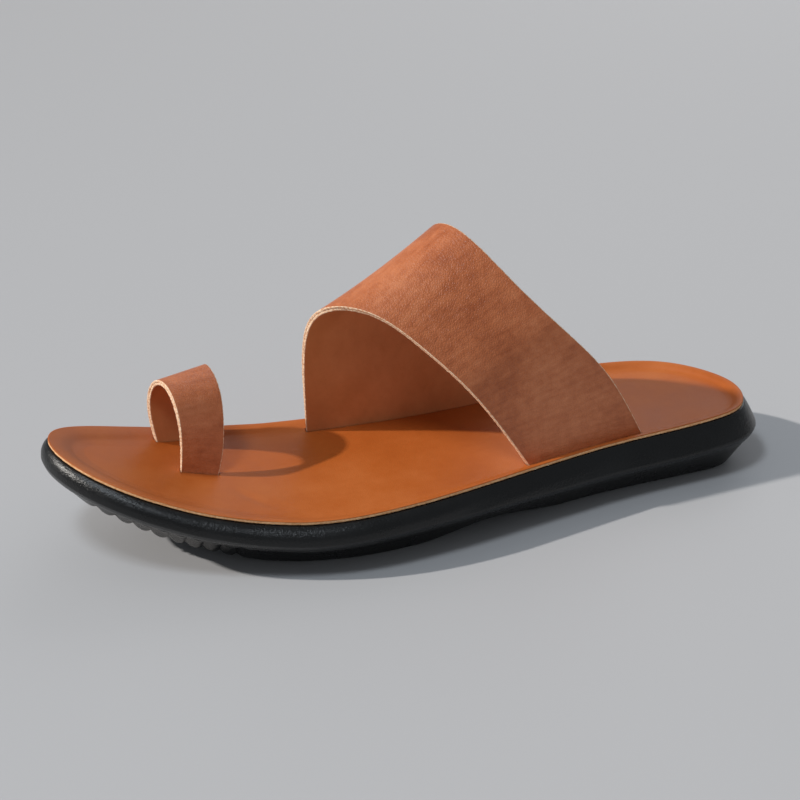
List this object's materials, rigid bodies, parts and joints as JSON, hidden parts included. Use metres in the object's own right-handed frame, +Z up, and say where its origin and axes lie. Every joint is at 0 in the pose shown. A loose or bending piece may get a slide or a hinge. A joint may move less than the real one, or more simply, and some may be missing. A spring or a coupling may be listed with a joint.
{
  "type": "toe loop sandal",
  "caption": "Flat left sandal with a moulded rubber sole, a dished leather insole, a wide slanting instep strap and a toe loop.",
  "frame": {"origin": "on the floor, under the centre of the sandal's length and width", "axes": "the toe points along -Y, the outer side of the left foot is +X, and +Z is up from the floor"},
  "size_m": [0.105, 0.2786, 0.1024],
  "materials": {
    "black_rubber": "moulded, fine satin texture",
    "tan_insole_leather": "smooth, with a pale raw cut edge",
    "brown_strap_leather": "mottled fine grain outside, smooth brown lining, pale raw edges",
    "brown_loop_leather": "mottled fine grain outside, smooth brown lining, pale raw edges"
  },
  "bodies": {
    "root": {"sole": "black_rubber", "insole": "tan_insole_leather", "instep_strap": "brown_strap_leather", "toe_loop": "brown_loop_leather"}
  },
  "joints": []
}
